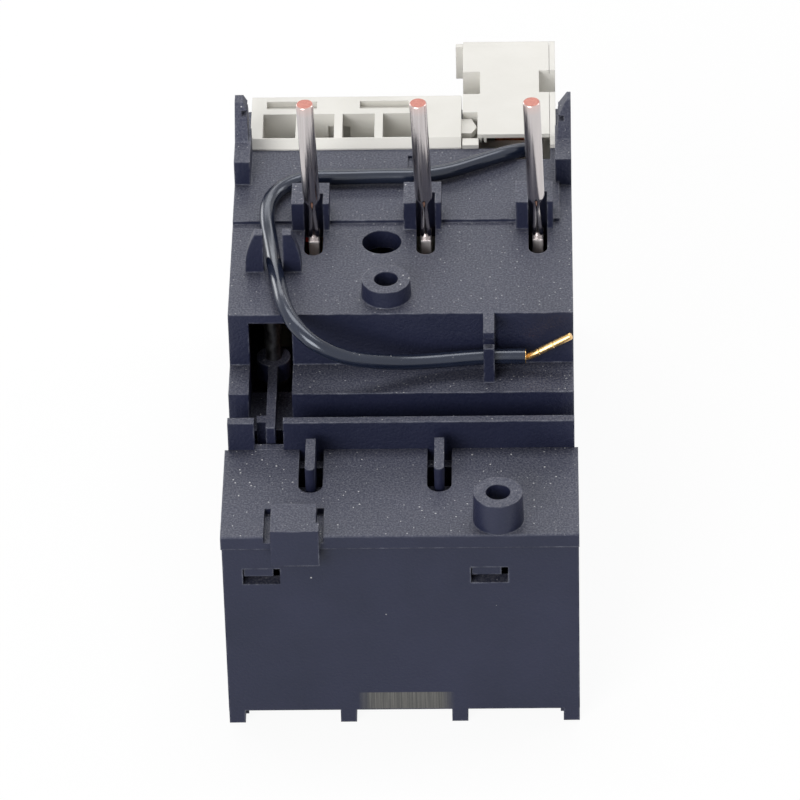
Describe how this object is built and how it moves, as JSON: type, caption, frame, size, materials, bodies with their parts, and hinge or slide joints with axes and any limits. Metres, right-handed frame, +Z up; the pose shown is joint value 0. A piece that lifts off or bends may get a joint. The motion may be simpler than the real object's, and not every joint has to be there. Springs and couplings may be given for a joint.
{
  "type": "thermal overload relay",
  "caption": "Black plug-in thermal overload relay with line pins on a stepped deck, pale terminal blocks and a loose coil lead ending in a brass pin.",
  "frame": {"origin": "middle of the underside of the barrier feet, in the middle of the overall length and width without the lead", "axes": "+X to the right seen from the rear cover, +Y from the rear cover to the front with the controls, +Z up along the line pins"},
  "size_m": [0.045, 0.0896, 0.0643],
  "materials": {
    "black_moulding": "fine matt grain",
    "pale_moulding": "satin",
    "inner_moulding": "matt",
    "flag_moulding": "matt",
    "reset_moulding": "semi gloss",
    "stop_moulding": "semi gloss",
    "silver_pin": "silver plated, satin",
    "silver_contact": "satin",
    "copper_strip": "bare copper",
    "bimetal": "satin",
    "heater_alloy": "dull",
    "zinc_steel": "zinc plated",
    "dark_steel": "blackened",
    "spring_steel": "drawn wire",
    "lead_insulation": "soft satin",
    "brass_pin": "bright turned"
  },
  "bodies": {
    "housing": {"main_housing": "black_moulding", "housing_base": "black_moulding", "rear_cover": "black_moulding", "ledge_cover": "black_moulding", "front_cover": "black_moulding", "front_frame": "black_moulding", "aux_terminal_frame": "pale_moulding", "coil_terminal_block": "pale_moulding", "coil_terminal_cover": "pale_moulding", "lever_pivot_pin": "dark_steel", "no_contact_low": "silver_contact", "no_contact_high": "silver_contact", "nc_contact_low": "silver_contact", "nc_contact_high": "silver_contact", "mechanism_plate": "inner_moulding", "reset_spring": "spring_steel", "stop_spring": "spring_steel", "coil_terminal_strip": "copper_strip", "coil_terminal_clamp": "zinc_steel", "coil_terminal_screw": "zinc_steel", "calibration_screws": "zinc_steel", "load_terminal_clamps": "zinc_steel", "load_terminal_screws": "zinc_steel", "aux_terminal_clamps": "zinc_steel", "aux_terminal_screws": "zinc_steel", "lead_wire": "lead_insulation", "brass_pin": "brass_pin", "line_pin_1": "silver_pin", "line_strip_1": "copper_strip", "load_strip_1": "copper_strip", "line_pin_2": "silver_pin", "line_strip_2": "copper_strip", "load_strip_2": "copper_strip", "line_pin_3": "silver_pin", "line_strip_3": "copper_strip", "load_strip_3": "copper_strip"},
    "push_slide": {"push_slide": "black_moulding"},
    "pull_slide": {"pull_slide": "black_moulding"},
    "bimetal_1": {"bimetal_1": "bimetal", "heater_winding_1": "heater_alloy"},
    "bimetal_2": {"bimetal_2": "bimetal", "heater_winding_2": "heater_alloy"},
    "bimetal_3": {"bimetal_3": "bimetal", "heater_winding_3": "heater_alloy"},
    "trip_lever": {"trip_lever": "black_moulding"},
    "contact_carrier": {"contact_carrier": "inner_moulding", "trip_flag": "flag_moulding", "no_moving_bridge": "silver_contact", "nc_moving_bridge": "silver_contact"},
    "setting_dial": {"setting_dial": "pale_moulding", "dial_cam": "inner_moulding"},
    "reset_button": {"reset_button": "reset_moulding"},
    "stop_button": {"stop_button": "stop_moulding"},
    "reset_selector": {"reset_selector": "pale_moulding"}
  },
  "joints": [
    {"name": "overload_travel", "type": "slide", "parent": "housing", "child": "push_slide", "axis": [1, 0, 0], "range_m": [0, 0.00085]},
    {"name": "pull_slide_travel", "type": "slide", "parent": "housing", "child": "pull_slide", "axis": [1, 0, 0], "range_m": [0, 0.00085]},
    {"name": "bimetal_1_bend", "type": "hinge", "parent": "housing", "child": "bimetal_1", "pos_m": [-0.01145, -0.0332, 0.0051], "axis": [0, 1, 0], "range_deg": [0, 2.37]},
    {"name": "bimetal_2_bend", "type": "hinge", "parent": "housing", "child": "bimetal_2", "pos_m": [0.0031, -0.0332, 0.0051], "axis": [0, 1, 0], "range_deg": [0, 2.37]},
    {"name": "bimetal_3_bend", "type": "hinge", "parent": "housing", "child": "bimetal_3", "pos_m": [0.01765, -0.0332, 0.0051], "axis": [0, 1, 0], "range_deg": [0, 2.37]},
    {"name": "trip_lever_turn", "type": "hinge", "parent": "housing", "child": "trip_lever", "pos_m": [-0.0167, -0.0092, 0.0323], "axis": [0, 0, 1], "range_deg": [0, 3.64]},
    {"name": "carrier_travel", "type": "slide", "parent": "housing", "child": "contact_carrier", "axis": [-1, 0, 0], "range_m": [0, 0.00119]},
    {"name": "current_setting", "type": "hinge", "parent": "housing", "child": "setting_dial", "pos_m": [0.0112, 0.0403, 0.027], "axis": [0, 1, 0], "range_deg": [-120, 120]},
    {"name": "reset_press", "type": "slide", "parent": "housing", "child": "reset_button", "axis": [0, -1, 0], "range_m": [0, 0.002], "stiffness_N_per_m": 300, "springref_m": -0.002, "deforming": ["reset_spring"]},
    {"name": "stop_press", "type": "slide", "parent": "housing", "child": "stop_button", "axis": [0, -1, 0], "range_m": [0, 0.002], "stiffness_N_per_m": 300, "springref_m": -0.002, "deforming": ["stop_spring"]},
    {"name": "selector_turn", "type": "hinge", "parent": "housing", "child": "reset_selector", "pos_m": [-0.0022, 0.0423, 0.027], "axis": [0, 1, 0], "range_deg": [0, 90]}
  ],
  "couplings": [
    {"joint": "pull_slide_travel", "follows": "overload_travel", "ratio": 1},
    {"joint": "bimetal_1_bend", "follows": "overload_travel", "rad_per_m": 48.426},
    {"joint": "bimetal_2_bend", "follows": "overload_travel", "rad_per_m": 48.426},
    {"joint": "bimetal_3_bend", "follows": "overload_travel", "rad_per_m": 48.426},
    {"joint": "trip_lever_turn", "follows": "overload_travel", "rad_per_m": 74.627},
    {"joint": "carrier_travel", "follows": "overload_travel", "ratio": 1.3955}
  ]
}
